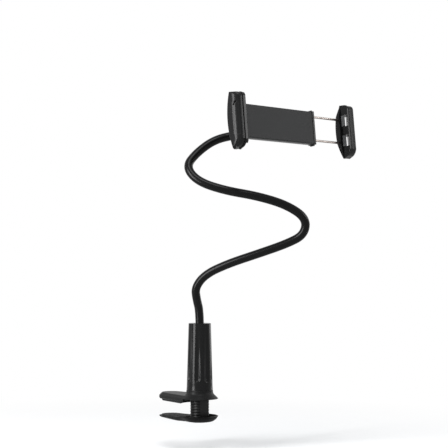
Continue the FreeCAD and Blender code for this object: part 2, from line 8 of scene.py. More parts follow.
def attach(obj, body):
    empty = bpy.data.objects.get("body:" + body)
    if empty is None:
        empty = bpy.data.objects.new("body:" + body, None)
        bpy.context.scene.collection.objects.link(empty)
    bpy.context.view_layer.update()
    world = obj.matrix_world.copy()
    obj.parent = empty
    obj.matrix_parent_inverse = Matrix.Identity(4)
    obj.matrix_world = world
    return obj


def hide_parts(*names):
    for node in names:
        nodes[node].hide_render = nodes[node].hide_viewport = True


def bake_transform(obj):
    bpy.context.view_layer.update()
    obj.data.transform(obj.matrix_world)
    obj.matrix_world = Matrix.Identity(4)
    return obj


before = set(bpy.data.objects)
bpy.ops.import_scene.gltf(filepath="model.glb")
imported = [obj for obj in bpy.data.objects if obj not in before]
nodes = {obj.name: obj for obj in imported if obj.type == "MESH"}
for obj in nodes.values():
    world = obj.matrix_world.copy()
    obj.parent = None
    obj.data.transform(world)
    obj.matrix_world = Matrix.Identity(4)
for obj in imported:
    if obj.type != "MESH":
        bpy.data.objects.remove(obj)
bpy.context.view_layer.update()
print("frame loaded:", len(nodes), "nodes")

# all sizes are in millimetres here and become metres in addMesh
millimetre = 0.001


# Shared shader groups. Each gives colours, values and heights that the materials feed to their own shaders.

def newGroup(name, inputs, outputs):
    group = bpy.data.node_groups.new(name, "ShaderNodeTree")
    for socket, kind, value in inputs:
        item = group.interface.new_socket(name=socket, in_out="INPUT", socket_type=kind)
        item.default_value = value
    for socket, kind in outputs:
        group.interface.new_socket(name=socket, in_out="OUTPUT", socket_type=kind)
    return group, group.nodes.new("NodeGroupInput"), group.nodes.new("NodeGroupOutput")


def noiseNode(tree, vector, scale, detail, roughness=0.5):
    node = tree.nodes.new("ShaderNodeTexNoise")
    node.inputs["Scale"].default_value = scale
    node.inputs["Detail"].default_value = detail
    node.inputs["Roughness"].default_value = roughness
    tree.links.new(vector, node.inputs["Vector"])
    return node


def mathNode(tree, operation, first, second):
    node = tree.nodes.new("ShaderNodeMath")
    node.operation = operation
    for socket, value in zip(node.inputs, (first, second)):
        if isinstance(value, (int, float)):
            socket.default_value = value
        else:
            tree.links.new(value, socket)
    return node.outputs[0]


def spreadNode(tree, value, low, high):
    # stretches a 0 to 1 value over low to high
    node = tree.nodes.new("ShaderNodeMapRange")
    for name, limit in (("To Min", low), ("To Max", high)):
        if isinstance(limit, (int, float)):
            node.inputs[name].default_value = limit
        else:
            tree.links.new(limit, node.inputs[name])
    tree.links.new(value, node.inputs["Value"])
    return node.outputs["Result"]


def mixColour(tree, factor, first, second):
    node = tree.nodes.new("ShaderNodeMix")
    node.data_type = "RGBA"
    tree.links.new(factor, node.inputs["Factor"])
    for socket, value in ((node.inputs["A"], first), (node.inputs["B"], second)):
        if isinstance(value, tuple):
            socket.default_value = value
        else:
            tree.links.new(value, socket)
    return node.outputs["Result"]


def buildMouldedGrain():
    # fine spark grain with slow cloudy drift in tone and gloss, as on moulded plastic
    group, given, made = newGroup("mouldedGrain", [
        ("Colour", "NodeSocketColor", (0.05, 0.05, 0.05, 1)), ("Dust", "NodeSocketColor", (0.1, 0.1, 0.1, 1)),
        ("Grain Scale", "NodeSocketFloat", 2400.0), ("Roughness", "NodeSocketFloat", 0.4),
        ("Drift", "NodeSocketFloat", 0.03),
    ], [("Colour", "NodeSocketColor"), ("Roughness", "NodeSocketFloat"), ("Height", "NodeSocketFloat")])
    place = group.nodes.new("ShaderNodeTexCoord").outputs["Object"]
    fine = group.nodes.new("ShaderNodeTexVoronoi")
    group.links.new(place, fine.inputs["Vector"])
    group.links.new(given.outputs["Grain Scale"], fine.inputs["Scale"])
    cloud = noiseNode(group, place, 28.0, 4.0, 0.55)
    specks = noiseNode(group, place, 900.0, 2.0)
    low = mathNode(group, "SUBTRACT", given.outputs["Roughness"], given.outputs["Drift"])
    high = mathNode(group, "ADD", given.outputs["Roughness"], given.outputs["Drift"])
    dusty = mathNode(group, "MULTIPLY", mathNode(group, "GREATER_THAN", specks.outputs["Fac"], 0.74), 0.12)
    tone = mathNode(group, "ADD", mathNode(group, "MULTIPLY", cloud.outputs["Fac"], 0.16), dusty)
    group.links.new(mixColour(group, tone, given.outputs["Colour"], given.outputs["Dust"]),
                    made.inputs["Colour"])
    group.links.new(spreadNode(group, cloud.outputs["Fac"], low, high), made.inputs["Roughness"])
    group.links.new(fine.outputs["Distance"], made.inputs["Height"])
    return group


def buildBrushing():
    # fine streaks along one axis, for drawn or turned metal
    group, given, made = newGroup("brushing", [
        ("Colour", "NodeSocketColor", (0.6, 0.6, 0.6, 1)), ("Shade", "NodeSocketColor", (0.4, 0.4, 0.4, 1)),
        ("Stretch", "NodeSocketVector", (1.0, 1.0, 1.0)), ("Roughness", "NodeSocketFloat", 0.2),
    ], [("Colour", "NodeSocketColor"), ("Roughness", "NodeSocketFloat"), ("Height", "NodeSocketFloat")])
    place = group.nodes.new("ShaderNodeTexCoord").outputs["Object"]
    stretch = group.nodes.new("ShaderNodeVectorMath")
    stretch.operation = "MULTIPLY"
    group.links.new(place, stretch.inputs[0])
    group.links.new(given.outputs["Stretch"], stretch.inputs[1])
    streaks = noiseNode(group, stretch.outputs["Vector"], 60.0, 5.0, 0.6)
    rough = mathNode(group, "MULTIPLY", given.outputs["Roughness"], 1.6)
    group.links.new(mixColour(group, streaks.outputs["Fac"], given.outputs["Shade"], given.outputs["Colour"]),
                    made.inputs["Colour"])
    group.links.new(spreadNode(group, streaks.outputs["Fac"], given.outputs["Roughness"], rough),
                    made.inputs["Roughness"])
    group.links.new(streaks.outputs["Fac"], made.inputs["Height"])
    return group


mouldedGrain = buildMouldedGrain()
brushing = buildBrushing()


def grey(value, warm=0.0):
    return (value * (1 + warm), value, value * (1 - warm), 1)


def newMaterial(name, group, values, bump, metallic=0.0, specular=0.5, softEdge=0.0):
    # bump is the relief's strength and its height in metres; softEdge is in millimetres
    material = bpy.data.materials.new(name)
    material.use_nodes = True
    tree = material.node_tree
    shader = tree.nodes["Principled BSDF"]
    effect = tree.nodes.new("ShaderNodeGroup")
    effect.node_tree = group
    for socket, value in values.items():
        effect.inputs[socket].default_value = value
    relief = tree.nodes.new("ShaderNodeBump")
    relief.inputs["Strength"].default_value = bump[0]
    relief.inputs["Distance"].default_value = bump[1]
    tree.links.new(effect.outputs["Colour"], shader.inputs["Base Color"])
    tree.links.new(effect.outputs["Roughness"], shader.inputs["Roughness"])
    tree.links.new(effect.outputs["Height"], relief.inputs["Height"])
    tree.links.new(relief.outputs["Normal"], shader.inputs["Normal"])
    if softEdge:
        rounding = tree.nodes.new("ShaderNodeBevel")
        rounding.inputs["Radius"].default_value = softEdge * millimetre
        tree.links.new(rounding.outputs["Normal"], relief.inputs["Normal"])
    shader.inputs["Metallic"].default_value = metallic
    shader.inputs["Specular IOR Level"].default_value = specular
    return material


def plastic(name, tone, roughness, grain=2400.0, bump=0.12, **rest):
    values = {"Colour": grey(tone, -0.02), "Dust": grey(tone * 2.0 + 0.004), "Grain Scale": grain,
              "Roughness": roughness}
    return newMaterial(name, mouldedGrain, values, (bump, 0.0002), **rest)


def metal(name, colour, shade, roughness, stretch, bump=0.05):
    values = {"Colour": colour, "Shade": shade, "Stretch": stretch, "Roughness": roughness}
    return newMaterial(name, brushing, values, (bump, 0.0001), metallic=1.0)


satinBlack = plastic("satinBlackPlastic", 0.004, 0.2, grain=1300.0, bump=0.004, specular=0.12)
frameBlack = plastic("jawFrameBlack", 0.004, 0.24, grain=1300.0, bump=0.01, specular=0.13, softEdge=0.9)
clampBlack = plastic("clampJawBlack", 0.004, 0.42, grain=1300.0, bump=0.04, specular=0.1, softEdge=1.6)
spoonBlack = plastic("lowerJawBlack", 0.003, 0.45, grain=1300.0, bump=0.02, specular=0.06)
panelBlack = plastic("panelSatinBlack", 0.02, 0.45, grain=3200.0, bump=0.08, specular=0.1)
coverBlack = plastic("jawCoverBlack", 0.005, 0.27, grain=1600.0, bump=0.008, specular=0.13)
sheathBlack = plastic("sheathGlossBlack", 0.0025, 0.24, grain=1500.0, bump=0.008, specular=0.1)
ferruleBlack = plastic("ferruleBlack", 0.005, 0.3, bump=0.02, specular=0.14)
nutBlack = plastic("clampingNutBlack", 0.007, 0.45, specular=0.2)
padRubber = plastic("clampPadRubber", 0.012, 0.75, grain=1800.0, bump=0.3, specular=0.2)
jawRubber = plastic("jawPadGreyRubber", 0.055, 0.7, grain=1600.0, bump=0.3, specular=0.2)
naturalNylon = plastic("naturalNylon", 0.55, 0.4)
postBlack = metal("blackenedPost", grey(0.02), grey(0.012), 0.3, (1.0, 1.0, 12.0))
chromeRod = metal("chromedRod", (0.34, 0.3, 0.28, 1), (0.26, 0.23, 0.21, 1), 0.24, (0.2, 8.0, 8.0), 0.005)
zincSteel = metal("zincSteel", grey(0.55), grey(0.38), 0.28, (4.0, 4.0, 4.0))
springSteel = metal("springSteel", grey(0.42), grey(0.3), 0.25, (1.0, 6.0, 6.0))
nutBrass = metal("nutBrass", (0.72, 0.52, 0.25, 1), (0.5, 0.35, 0.15, 1), 0.25, (3.0, 3.0, 0.5))
coreMetal = metal("coreAluminium", grey(0.6), grey(0.45), 0.35, (1.0, 1.0, 1.0))
print("materials built:", len(bpy.data.materials))


# Which finish each CAD node has
finishes = {
    satinBlack: ["grip"],
    frameBlack: ["rear_housing", "end_cap", "fixed_jaw_frame", "sliding_jaw_frame"],
    clampBlack: ["upper_jaw", "lower_jaw"],
    panelBlack: ["front_panel"],
    coverBlack: ["fixed_jaw_cover", "sliding_jaw_cover"],
    ferruleBlack: ["neck_ferrule_lower", "neck_ferrule_upper"],
    padRubber: ["upper_jaw_pad", "lower_jaw_pad"],
    jawRubber: ["fixed_jaw_pads", "sliding_jaw_pads"],
    naturalNylon: ["ball_seat"],
    nutBlack: ["lock_nut", "grip_bush", "thrust_washer"],
    postBlack: ["clamp_post"],
    chromeRod: ["guide_rods"],
    zincSteel: ["post_screws", "housing_screws", "fixed_jaw_screws", "rod_screws", "rod_collars", "ball_stud",
                "grip_retaining_ring"],
    springSteel: ["rod_springs"],
    nutBrass: ["grip_nut"],
}
for material, names in finishes.items():
    for name in names:
        nodes[name].data.materials.clear()
        nodes[name].data.materials.append(material)
for name, node in nodes.items():
    if name.startswith(("neck_sheath", "neck_core")):
        node.data.materials.clear()
        node.data.materials.append(sheathBlack if "sheath" in name else coreMetal)


# Mesh making

def softenShading(mesh, degrees):
    mesh.polygons.foreach_set("use_smooth", np.ones(len(mesh.polygons), bool))
    mesh.set_sharp_from_angle(angle=math.radians(degrees))
    mesh.update()


def addMesh(name, points, faces, material, smoothAngle=35.0):
    # points in millimetres of the row frame; faces as rows of indices
    mesh = bpy.data.meshes.new(name)
    mesh.from_pydata((np.asarray(points).reshape(-1, 3) * millimetre).tolist(), [], [list(f) for f in faces])
    mesh.materials.append(material)
    softenShading(mesh, smoothAngle)
    piece = bpy.data.objects.new(name, mesh)
    bpy.context.scene.collection.objects.link(piece)
    return piece


def weldPoints(piece):
    # joins points that meet and turns all faces outwards
    mesh = piece.data
    work = bmesh.new()
    work.from_mesh(mesh)
    bmesh.ops.remove_doubles(work, verts=work.verts, dist=0.01 * millimetre)
    bmesh.ops.recalc_face_normals(work, faces=work.faces)
    work.to_mesh(mesh)
    work.free()


def applyCut(piece, cutter, operation):
    # cuts, joins or crosses the piece with another mesh, which is used up
    change = piece.modifiers.new("change", "BOOLEAN")
    change.operation = operation
    change.solver = "EXACT"
    change.object = cutter
    graph = bpy.context.evaluated_depsgraph_get()
    made = bpy.data.meshes.new_from_object(piece.evaluated_get(graph), depsgraph=graph)
    piece.modifiers.clear()
    piece.data = made
    bpy.data.objects.remove(cutter)


def gridFaces(rows, columns, wrapRows=False, wrapColumns=True):
    # quads of a grid of points, joined round where it wraps
    a = np.arange(rows if wrapRows else rows - 1)[:, None]
    b = np.arange(columns if wrapColumns else columns - 1)[None, :]
    nextRow, nextColumn = (a + 1) % rows, (b + 1) % columns
    quads = [a * columns + b, a * columns + nextColumn, nextRow * columns + nextColumn, nextRow * columns + b]
    return np.stack([q.ravel() for q in np.broadcast_arrays(*quads)], 1)


# Neck: a smooth sheath on its core, from the grip to the ball stud, in stretches that each span one of the
# route's bend zones

neckRoute = {
    "radius": 6.0,
    "coreRadius": 3.9,
    "sides": 40,
    "step": 1.6,
    "sideways": (0.74, 0.66, -0.1),
    "column": (0.0, -46.0),
    "foot": 103.55,
    "ballCentre": (28.0, -149.0, 385.0),
    "leanBack": 6.0,
    "endY": 27.0,
    "approach": 31.0,
    "corners": [
        (0, -46, 130), (-4, -44, 147), (-7, -44, 164), (0, -59, 183), (17, -90, 198), (39, -125, 211),
        (63, -159, 225), (76, -179, 237), (75, -185, 259), (49, -174, 277), (15, -152, 289), (-19, -121, 297),
        (-41, -90, 310), (-46, -71, 331), (-27, -70, 351), (-2, -80, 371),
    ],
    # name, first and last corner, ends of the replaced nodes' names, bodies it joins and where it bends
    "pieces": [
        ("Low", 0, 4, ["1", "bend_1"], "neck_base", "neck_low_run", 2, 4),
        ("Middle", 4, 9, ["2", "bend_2"], "neck_low_run", "neck_high_run", 7, 9),
        ("High", 9, 17, ["3", "bend_3", "4"], "neck_high_run", "neck_end", 12, 15),
    ],
}


def holderPoint(x, y, z):
    # a point of the holder's own frame, which leans back about the ball
    a = math.radians(neckRoute["leanBack"])
    cx, cy, cz = neckRoute["ballCentre"]
    return cx + x, cy + y * math.cos(a) + z * math.sin(a), cz + z * math.cos(a) - y * math.sin(a)


def routePoints():
    x, y = neckRoute["column"]
    end = neckRoute["endY"]
    last = [holderPoint(0, end + neckRoute["approach"], 0), holderPoint(0, end, 0)]
    return np.array([(x, y, neckRoute["foot"])] + neckRoute["corners"] + last, float)


def neckPath(points, first, last):
    # quadratic curve through the middles of the route's runs, first to last:
    # (1 - t)^2 times one middle, 2 t (1 - t) times the corner between and t^2 times the next middle
    middles = (points[:-1] + points[1:]) / 2
    middles[0], middles[-1] = points[0], points[-1]
    samples, slopes = [], []
    for k in range(first, last):
        a, corner, b = middles[k], points[k + 1], middles[k + 1]
        count = max(4, int((np.linalg.norm(corner - a) + np.linalg.norm(b - corner)) / neckRoute["step"]))
        t = np.linspace(0, 1, count, endpoint=k == last - 1)[:, None]
        samples.append((1 - t) ** 2 * a + 2 * t * (1 - t) * corner + t ** 2 * b)
        slopes.append((1 - t) * (corner - a) + t * (b - corner))
    return np.concatenate(samples), np.concatenate(slopes), middles


def tubeAlong(path, slopes, radius, sides):
    # a circle carried along the path: path + radius (cos of the angle times side + sin times across);
    # side is the sideways direction, which the path never runs along, made square to it
    along = slopes / np.linalg.norm(slopes, axis=1)[:, None]
    sideways = np.array(neckRoute["sideways"])
    side = sideways - (along @ sideways)[:, None] * along
    side /= np.linalg.norm(side, axis=1)[:, None]
    across = np.cross(along, side)
    angle = np.linspace(0, 2 * math.pi, sides, endpoint=False)
    ring = np.cos(angle)[None, :, None] * side[:, None] + np.sin(angle)[None, :, None] * across[:, None]
    return path[:, None] + radius * ring


def closedTube(rings):
    # quads round the rings, and a flat lid at each end
    rows, columns = rings.shape[:2]
    faces = [list(f) for f in gridFaces(rows, columns)]
    faces.append(list(range(columns))[::-1])
    faces.append([(rows - 1) * columns + k for k in range(columns)])
    return rings.reshape(-1, 3), faces


def buildNeck():
    points = routePoints()
    for name, first, last, replaced, low, high, bendStart, bendEnd in neckRoute["pieces"]:
        path, slopes, middles = neckPath(points, first, last)
        for kind, radius, material in (("sheath", neckRoute["radius"], sheathBlack),
                                       ("core", neckRoute["coreRadius"], coreMetal)):
            rings = tubeAlong(path, slopes, radius, neckRoute["sides"])
            piece = addMesh("neck" + kind.capitalize() + name, *closedTube(rings), material)
            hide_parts(*["neck_" + kind + "_" + end for end in replaced])
            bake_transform(piece)
    print("neck built")


buildNeck()


# Springs on the guide rods: wire coils that run between the end cap and the rods' collars

springCoils = {
    "start": -2.0,
    "end": 65.9,
    "turns": 26,
    "meanRadius": 2.45,
    "wireRadius": 0.42,
    "perTurn": 20,
    "wireSides": 8,
    "rodY": -18.5,
    "rodZ": 16.8,
}


def buildSprings():
    # a helix about the rod: x runs evenly while the angle turns, and a wire circle follows it
    s = springCoils
    t = np.linspace(0, 1, s["turns"] * s["perTurn"] + 1)
    turn = 2 * math.pi * s["turns"] * t
    rise = s["end"] - s["start"] - 2 * s["wireRadius"]
    angle = np.linspace(0, 2 * math.pi, s["wireSides"], endpoint=False)
    outward = np.stack([np.zeros_like(t), np.cos(turn), np.sin(turn)], 1)
    alongX = np.array([1.0, 0.0, 0.0])
    points, faces = [], []
    for side in (-1, 1):
        centre = outward * s["meanRadius"] + (s["start"] + s["wireRadius"] + rise * t)[:, None] * alongX
        centre += np.array([0, s["rodY"], side * s["rodZ"]])
        rings = centre[:, None] + s["wireRadius"] * (
            np.cos(angle)[None, :, None] * outward[:, None] - np.sin(angle)[None, :, None] * alongX)
        coil, quads = closedTube(rings)
        base = sum(len(p) for p in points)
        faces += [[index + base for index in f] for f in quads]
        points.append(coil)
    local = np.concatenate(points)
    placed = np.stack(holderPoint(local[:, 0], local[:, 1], local[:, 2]), 1)
    piece = addMesh("rodSprings", placed, faces, springSteel)
    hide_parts("rod_springs")
    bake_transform(piece)
    print("springs built")


buildSprings()


# Clamp jaws: teardrops round two circles. The lower one is a spoon whose rim dies away along its tongue.

clampJaws = {
    "round": 26.0,
    "tip": 18.0,
    "reach": 63.5,
    "samples": (120, 40, 60),
    "capInset": 15.0,
    "lowerTop": -21.0,
    "lowerBottom": -24.8,
    "rimHeight": 4.6,
    "rimWidth": 2.2,
    "rimFade": (10.0, 34.0),
    "rimEase": 0.25,
    "rimSlope": 1.4,
    "bowlEdge": 0.5,
    "bowlRows": 18,
    "bowlPower": 1.6,
    "footInset": (4.5, 11.0),
    "tipThinning": 0.3,
    "thinningStart": 15.0,
    "screwSpacing": 13.0,
    # radius and height of the holes for the countersunk screws
    "screwHole": [(4.75, -26.0), (4.75, -24.6), (2.55, -22.4), (2.55, -20.0)],
    "holeSides": 40,
    "padInset": 4.0,
    "padTop": 3.0,
    "padRound": 1.8,
    # radius and height of the cut that clears the hub
    "padStart": [(27.0, -1.0), (27.0, 4.0)],
    "padSides": 96,
}


def smoothStep(value, low, high):
    t = np.clip((value - low) / (high - low), 0, 1)
    return t * t * (3 - 2 * t)


def teardropRing(inset):
    # round the big circle's back, along one tangent, round the tip and back along the other tangent
    c = clampJaws
    around, side, tip = c["samples"]
    big, small = c["round"] - inset, c["tip"] - inset
    lean = math.asin((c["round"] - c["tip"]) / c["reach"])
    back = np.linspace(math.pi - lean, 2 * math.pi + lean, around)
    front = np.linspace(lean, math.pi - lean, tip)
    t = np.linspace(0, 1, side + 2)[1:-1, None]
    bigArc = big * np.stack([np.cos(back), np.sin(back)], 1)
    smallArc = small * np.stack([np.cos(front), np.sin(front)], 1) + np.array([0, c["reach"]])
    parts = [bigArc, bigArc[-1] * (1 - t) + smallArc[0] * t, smallArc, smallArc[-1] * (1 - t) + bigArc[0] * t]
    return np.concatenate(parts) + np.array(neckRoute["column"])


def turnedRings(profile, y, sides):
    # circles about an upright line through (column x, y), one for each radius and height
    x = neckRoute["column"][0]
    angle = np.linspace(0, 2 * math.pi, sides, endpoint=False)
    return np.array([[(x + r * math.cos(a), y + r * math.sin(a), z) for a in angle] for r, z in profile])


def insetRings(profile):
    # rings of the teardrop at each inset and height, where both may change along the outline
    edge, core = teardropRing(0.0), teardropRing(10.0)
    inwards = (core - edge) / 10.0
    rings = [np.column_stack([edge + inwards * np.reshape(inset, (-1, 1)), np.broadcast_to(z, len(edge))])
             for inset, z in profile]
    return np.stack(rings)


def buildLowerJaw():
    # rim and bowl fade into the tongue by their distance along it; the bowl's flank is a rounded quarter,
    # inset I (1 - cos t) and drop D sin(t)^bowlPower
    c = clampJaws
    along = teardropRing(0.0)[:, 1] - neckRoute["column"][1]
    bowl = 1 - smoothStep(along, *c["rimFade"])
    top, bottom = c["lowerTop"], c["lowerBottom"]
    rim = top + c["rimHeight"] * bowl
    foot = c["footInset"][0] + (c["footInset"][1] - c["footInset"][0]) * bowl
    width, ease, edge = c["rimWidth"], c["rimEase"], c["bowlEdge"]
    profile = [(c["capInset"], top), (width + c["rimSlope"], top), (width + 0.15, rim - ease * bowl),
               (width - ease, rim), (edge, rim), (0.15, rim - 0.15)]
    for t in np.linspace(0, math.pi / 2, c["bowlRows"]):
        drop = (rim - edge - bottom) * math.sin(t) ** c["bowlPower"]
        profile.append((foot * (1 - math.cos(t)), rim - edge - drop))
    profile.append((c["capInset"], bottom))
    rings = insetRings(profile)
    forward = rings[:, :, 1] - neckRoute["column"][1]
    thin = c["tipThinning"] * smoothStep(forward, c["thinningStart"], c["reach"] + c["tip"])
    below = np.clip(top - rings[:, :, 2], 0, None)
    rings[:, :, 2] += below * thin
    piece = addMesh("spoonLowerJaw", *closedTube(rings), spoonBlack)
    weldPoints(piece)
    for side in (-0.5, 0.5):
        middle = neckRoute["column"][1] + side * c["screwSpacing"]
        hole = turnedRings(c["screwHole"], middle, c["holeSides"])
        cutter = addMesh("screwHole", *closedTube(hole), clampBlack)
        weldPoints(cutter)
        applyCut(piece, cutter, "DIFFERENCE")
    softenShading(piece.data, 35)
    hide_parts("lower_jaw")
    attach(piece, "lower_clamp_jaw")
    print("lower jaw built")


def buildUpperPad():
    # the soft pad under the tongue, with a rounded lower edge, cut round the hub
    c = clampJaws
    turn = np.linspace(0, math.pi / 2, 8)
    profile = [(c["capInset"], 0.0)]
    profile += [(c["padInset"] + c["padRound"] * (1 - math.sin(t)), c["padRound"] * (1 - math.cos(t)))
                for t in turn]
    profile += [(c["padInset"], c["padTop"]), (c["capInset"], c["padTop"])]
    piece = addMesh("roundedUpperPad", *closedTube(insetRings(profile)), padRubber)
    weldPoints(piece)
    hub = turnedRings(c["padStart"], neckRoute["column"][1], c["padSides"])
    cutter = addMesh("padStart", *closedTube(hub), padRubber)
    weldPoints(cutter)
    applyCut(piece, cutter, "DIFFERENCE")
    softenShading(piece.data, 35)
    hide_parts("upper_jaw_pad")
    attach(piece, "clamp")
    print("upper pad built")


buildLowerJaw()
buildUpperPad()


# Clamp post: a coarse screw whose two flats keep it from turning

clampPost = {
    "radius": 13.2,
    "flat": 10.3,
    "bottom": -21.0,
    "top": 72.0,
    "pitch": 4.0,
    "depth": 0.55,
    "chamfer": 1.0,
    "plainFoot": 5.5,
    "sides": 144,
    "rowsPerTurn": 14,
}


def buildPost():
    # radius of a rounded helical thread: the bar's less depth times wave^4, where the wave runs with height
    # and angle, plain at the foot, chamfered at the top and cut by two flats
    p = clampPost
    rows = int((p["top"] - p["bottom"]) / p["pitch"] * p["rowsPerTurn"])
    z = np.linspace(p["bottom"], p["top"], rows)[:, None]
    angle = np.linspace(0, 2 * math.pi, p["sides"], endpoint=False)[None, :]
    wave = 0.5 - 0.5 * np.cos(2 * math.pi * z / p["pitch"] - angle)
    plain = np.clip(p["bottom"] + p["plainFoot"] - z, 0, 1)
    chamfer = np.clip(z - (p["top"] - p["chamfer"]), 0, None)
    radius = p["radius"] - p["depth"] * wave ** 4 * (1 - plain) - chamfer
    radius = np.minimum(radius, (p["flat"] - chamfer) / np.maximum(np.abs(np.sin(angle)), 1e-3))
    x, y = neckRoute["column"]
    rings = np.stack([x + radius * np.cos(angle), y + radius * np.sin(angle), z + 0 * radius], 2)
    piece = addMesh("threadedPost", *closedTube(rings), postBlack, 50.0)
    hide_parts("clamp_post")
    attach(piece, "lower_clamp_jaw")
    print("post built")


buildPost()


# Grip: a tapering handle with eight straight flutes, whose lips are softened

gripForm = {
    "bottom": 19.85,
    "top": 113.55,
    "footRadius": 18.7,
    "footHeight": 9.0,
    "lowRadius": 18.2,
    "highRadius": 15.8,
    "edge": 0.8,
    "footEdge": 0.5,
    "flutes": 8,
    "fluteRadius": 5.5,
    "fluteReach": 21.4,
    "fluteStart": 36.35,
    "fluteTurn": -139.5,
    "lipSoftness": 1.5,
    "sides": 288,
    "rows": 130,
    # radius and height down the inside: the bush's seat, the cavity, the nut's seat and the bore on the hub
    "inside": [(8.7, 113.55), (8.7, 92.05), (13.5, 92.05), (13.5, 52.0),
               (15.0, 52.0), (15.0, 28.0), (15.3, 28.0), (15.3, 19.85)],
}


def softMin(first, second, width):
    # the lower of two surfaces, rounded where they cross: min - (width - gap)^2 / (4 width) inside the width
    gap = np.clip(width - np.abs(first - second), 0, None)
    return np.minimum(first, second) - gap ** 2 / (4 * width)


def gripOutline(z):
    # the plain handle's radius: a straight taper, a flared foot and two rounded edges
    g = gripForm
    joint = g["bottom"] + g["footHeight"]
    taper = np.interp(z, [joint, g["top"]], [g["lowRadius"], g["highRadius"]])
    flare = (g["footRadius"] - g["lowRadius"]) * np.clip((joint - z) / g["footHeight"], 0, 1) ** 2
    edge, footEdge = g["edge"], g["footEdge"]
    intoEdge = np.clip((z - (g["top"] - edge)) / edge, 0, 1)
    intoFoot = np.clip((g["bottom"] + footEdge - z) / footEdge, 0, 1)
    rounding = edge * (1 - np.sqrt(1 - intoEdge ** 2)) + footEdge * (1 - np.sqrt(1 - intoFoot ** 2))
    return taper + flare - rounding


def buildGrip():
    # a flute of radius f about an upright line at reach R cuts the handle at R cos(angle) - sqrt(f^2 - R^2
    # sin(angle)^2), with f^2 less the depth below its start squared for its round foot
    g = gripForm
    z = np.concatenate([g["bottom"] + np.linspace(0, g["footEdge"], 5),
                        np.linspace(g["bottom"] + 1, g["top"] - 1, g["rows"]),
                        g["top"] - g["edge"] * (1 - np.sin(np.linspace(0, math.pi / 2, 7)))])[:, None]
    angle = np.linspace(0, 2 * math.pi, g["sides"], endpoint=False)[None, :]
    radius = gripOutline(z) + 0 * angle
    below = np.clip(g["fluteStart"] - z, 0, None)
    for k in range(g["flutes"]):
        turn = angle - math.radians(g["fluteTurn"] + 360.0 * k / g["flutes"])
        inside = g["fluteRadius"] ** 2 - below ** 2 - (g["fluteReach"] * np.sin(turn)) ** 2
        flute = g["fluteReach"] * np.cos(turn) - np.sqrt(np.clip(inside, 0, None))
        flute = np.where((inside > 0) & (np.cos(turn) > 0), flute, 99.0)
        radius = softMin(radius, flute, g["lipSoftness"])
    inner = np.array(g["inside"])
    radius = np.concatenate([radius, inner[:, :1] + 0 * angle])
    z = np.concatenate([z, inner[:, 1:]])
    x, y = neckRoute["column"]
    rings = np.stack([x + radius * np.cos(angle), y + radius * np.sin(angle), z + 0 * radius], 2)
    faces = gridFaces(rings.shape[0], rings.shape[1], wrapRows=True)
    piece = addMesh("flutedGrip", rings, faces, satinBlack, 40.0)
    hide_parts("grip")
    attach(piece, "grip")
    print("grip built")


buildGrip()


# Jaw covers: deep rounded shells with a shallow panel and a slanting notch in their outer face

jawCover = {
    "front": -36.0,
    "back": -13.5,
    "topBow": 6.5,
    "bottomBow": 7.0,
    "top": 37.6,
    "bottom": -39.8,
    "topSlope": 1.6,
    "bottomSlope": 5.2,
    "topRadius": 5.5,
    "bottomRadius": 7.0,
    "radiusLimit": 0.7,
    # points along the top, its corner, the front, its lower corner, the bottom and the back
    "outlinePoints": (24, 24, 150, 28, 24, 170),
    "wall": 2.9,
    "thickness": 11.0,
    "step": 0.5,
    "edge": 1.4,
    # distance out from the wall and depth of the groove beside the frame
    "groove": [(0.0, 1.2), (0.6, 1.2), (0.8, 0.3), (1.1, 0.0)],
    "sideRows": 26,
    "capRows": 22,
    "spine": (-20.5, -29.0, 27.0),
    "panelMiddle": -30.2,
    "panelHalf": (4.6, 23.5),
    "panelRound": 4.2,
    "panelDepth": 0.35,
    "panelSoftness": 1.4,
    "notchMiddle": -29.8,
    "notchHeight": 20.5,
    "notchHalf": (0.9, 3.3),
    "notchTurn": 40.0,
    "notchDepth": 1.5,
    "notchRim": 0.25,
    "notchSoftness": 0.6,
    "slotNear": 6.15,
    "slotFar": 22.65,
    "slotStart": 1.0,
    "slotEnd": 18.0,
    "slotFront": -34.35,
    "slotBack": -29.25,
    "slotSlant": 1.15,
    "heel": {"low": -40.3, "high": -36.0, "front": -26.1, "back": -21.1, "inner": 7.4, "outer": 11.9},
    # which way is outwards and where the inner face lies, in the holder's frame
    "fixed": (-1, -65.0),
    "sliding": (1, 133.0),
    # how far the front's quarter ellipse reaches outwards and back
    "fixedRound": (6.5, 9.0),
    "slidingRound": (2.2, 1.6),
    "roundPower": 1.45,
}


def arcPoints(start, through, end, count):
    # points on the circle through three points, the first left out
    a, b, c = (complex(*p) for p in (start, through, end))
    w = (c - a) / (b - a)
    centre = (b - a) * (w - abs(w) ** 2) / (2j * w.imag) + a
    first, last, way = (np.angle(v - centre) for v in (a, c, b))
    span = (last - first) % (2 * math.pi)
    if (way - first) % (2 * math.pi) > span:
        span -= 2 * math.pi
    turn = first + span * np.arange(1, count + 1) / count
    radius = abs(a - centre)
    return np.stack([centre.real + radius * np.cos(turn), centre.imag + radius * np.sin(turn)], 1)


def linePoints(start, end, count):
    t = np.arange(1, count + 1)[:, None] / count
    return np.array(start) * (1 - t) + np.array(end) * t


